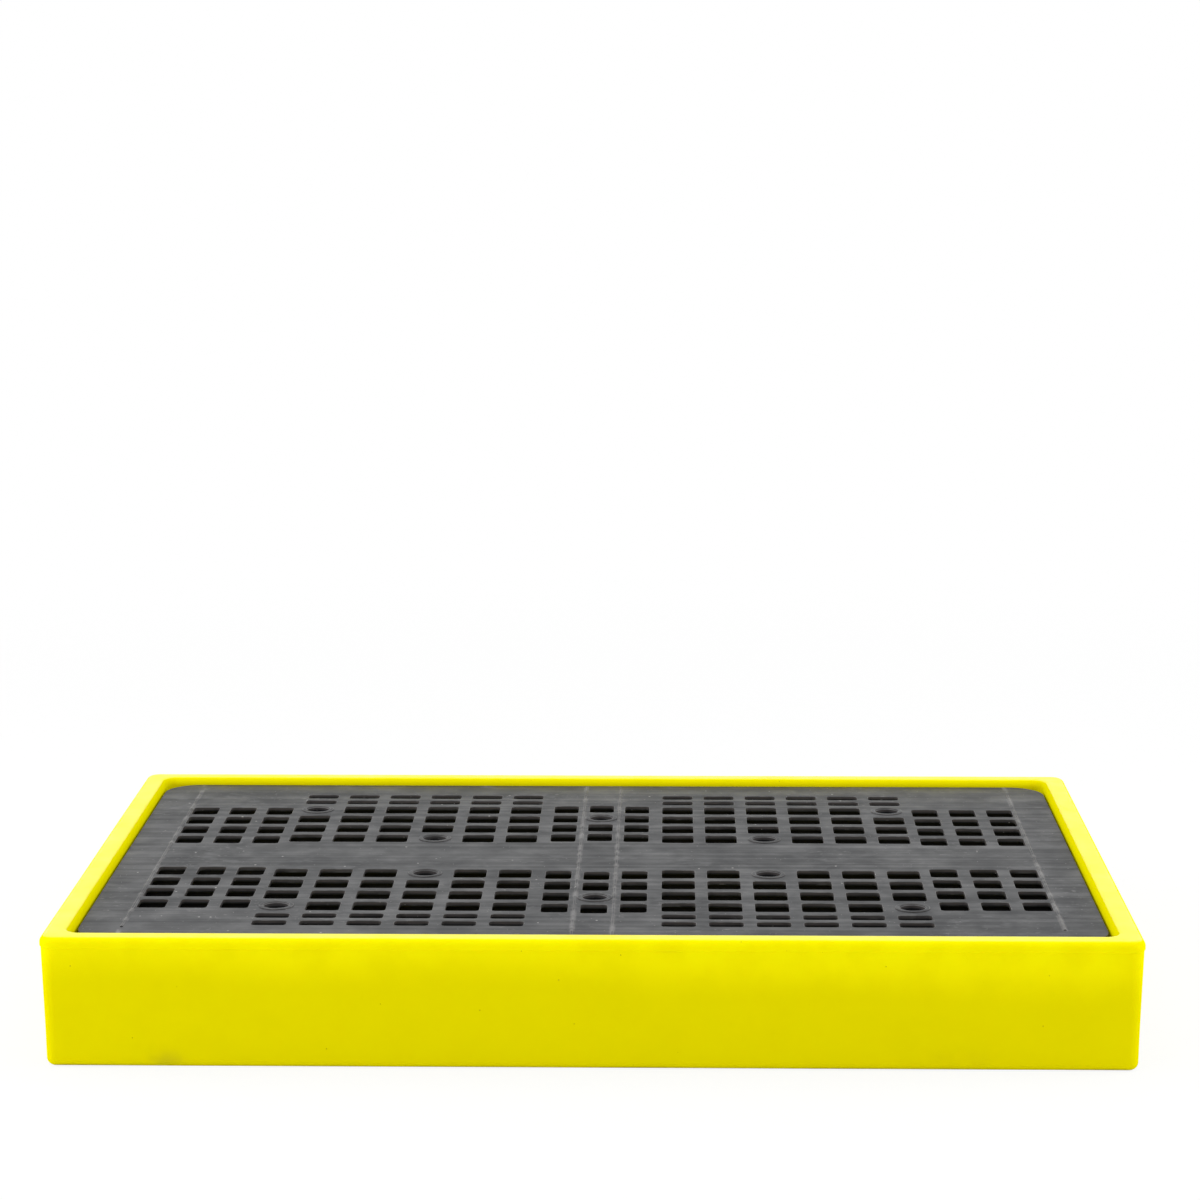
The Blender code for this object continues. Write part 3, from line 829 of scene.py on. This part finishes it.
def black_tube():
    """Extruded black tube: fine lines along its length."""
    material, tree = new_material("black_tube")
    lines = cloud(tree, place_in(tree, (420.0, 420.0, 4.0)), scale=1.0, detail=3.0)
    colour = tint(tree, between(tree, lines, 0.4, 0.8), TUBE_DARK, TUBE_PALE)
    colour = tint(tree, spots(tree, place_in(tree), scale=120.0, size=0.06), colour, DUST)
    roughness = between(tree, cloud(tree, place_in(tree), scale=60.0, detail=4.0), 0.3, 0.7, 0.42, 0.6)
    finish_with(tree, Base_Color=colour, Roughness=roughness, Normal=bump(tree, lines, 0.0001))
    return material


def black_plug():
    """Matte moulded plug with a fine grain and lighter rounded edges, partly a painted highlight."""
    material, tree = new_material("black_plug")
    where = place_in(tree)
    grain = cloud(tree, where, scale=1500.0, detail=2.0)
    colour = tint(tree, between(tree, cloud(tree, where, scale=200.0), 0.35, 0.7), PLUG_DARK, PLUG_PALE)
    # Lighter rounded edges: wear, partly a painted highlight.
    colour = tint(tree, calc(tree, "MULTIPLY", edge_mask(tree), 0.5), colour, DECK_SCUFF_AND_HIGHLIGHT)
    roughness = between(tree, grain, 0.3, 0.7, 0.5, 0.68)
    finish_with(tree, Base_Color=colour, Roughness=roughness, Normal=bump(tree, grain, 0.00006))
    return material


# ---------------------------------------------------------------- studio


def build_floor():
    """A pale floor that fades into the white background, and isn't there from below."""
    bm = bmesh.new()
    bmesh.ops.create_grid(bm, x_segments=1, y_segments=1, size=FLOOR_REACH)
    floor = from_bmesh("studio_floor", bm)
    floor.location.z = -FLOOR_DROP
    material, tree = new_material("pale_floor")
    coords = add(tree, "ShaderNodeTexCoord", {}).outputs["Object"]
    distance = add(tree, "ShaderNodeVectorMath", {0: coords}, operation="LENGTH").outputs["Value"]
    grain = between(tree, cloud(tree, coords, scale=40.0, detail=4.0), 0.3, 0.7, 0.0, 1.0)
    colour = tint(tree, grain, FLOOR_GREY, FLOOR_PALE)
    finish_with(tree, Base_Color=colour, Roughness=0.9)
    back = add(tree, "ShaderNodeNewGeometry", {}).outputs["Backfacing"]
    clear = calc(tree, "MAXIMUM", between(tree, distance, FLOOR_FADE, FLOOR_REACH), back)
    shader = tree.nodes["Principled BSDF"].outputs["BSDF"]
    see_through = add(tree, "ShaderNodeBsdfTransparent", {}).outputs["BSDF"]
    white = add(tree, "ShaderNodeEmission", {"Color": (1.0, 1.0, 1.0, 1.0)}).outputs["Emission"]
    seen = add(tree, "ShaderNodeLightPath", {}).outputs["Is Camera Ray"]
    glow = calc(tree, "MULTIPLY", seen, FLOOR_GLOW)
    lit = add(tree, "ShaderNodeMixShader", {0: glow, 1: shader, 2: white}).outputs["Shader"]
    mixed = add(tree, "ShaderNodeMixShader", {0: clear, 1: lit, 2: see_through}).outputs["Shader"]
    tree.links.new(mixed, tree.nodes["Material Output"].inputs["Surface"])
    floor.data.materials.append(material)


def area_light(name, place, target, size, power):
    light = bpy.data.lights.new(name, "AREA")
    light.shape = "RECTANGLE"
    light.size, light.size_y = size
    light.energy = power
    lamp = link(name, light)
    lamp.location = place
    lamp.rotation_euler = (Vector(target) - Vector(place)).to_track_quat("-Z", "Y").to_euler()


def build_studio():
    scene = bpy.context.scene
    world = bpy.data.worlds.new("white_studio")
    scene.world = world
    world.use_nodes = True
    path = add(world.node_tree, "ShaderNodeLightPath", {}).outputs
    strength = between(world.node_tree, path["Is Glossy Ray"], 0.0, 1.0, WORLD_LIGHT, GLOSS_LIGHT)
    strength = calc(world.node_tree, "MAXIMUM", strength, path["Is Camera Ray"])
    background = world.node_tree.nodes["Background"]
    background.inputs["Color"].default_value = (1.0, 1.0, 1.0, 1.0)
    world.node_tree.links.new(strength, background.inputs["Strength"])
    for name, place, size, power in LAMPS:
        area_light(name, place, (0.0, 0.0, HEIGHT), size, power)
    scene.view_settings.view_transform = "Standard"


def build_camera():
    """A long lens a little above the rim, with the lens shifted so that upright edges stay upright."""
    data = bpy.data.cameras.new("camera")
    data.sensor_width = CAMERA_SENSOR
    data.lens = CAMERA_LENS
    data.shift_y = CAMERA_SHIFT
    camera = link("camera", data)
    camera.location = CAMERA_PLACE
    level = Matrix.Rotation(math.radians(90) - CAMERA_DIP, 3, "X")
    turned_to = Matrix.Rotation(CAMERA_TURN, 3, "Z") @ level @ Matrix.Rotation(CAMERA_ROLL, 3, "Z")
    camera.rotation_euler = turned_to.to_euler()
    bpy.context.scene.camera = camera


# ---------------------------------------------------------------- all together

build_sump(yellow_polyethylene())
build_vent_plug(black_plug())
build_deck(black_moulding())
build_columns(black_tube())
build_floor()
build_studio()
build_camera()
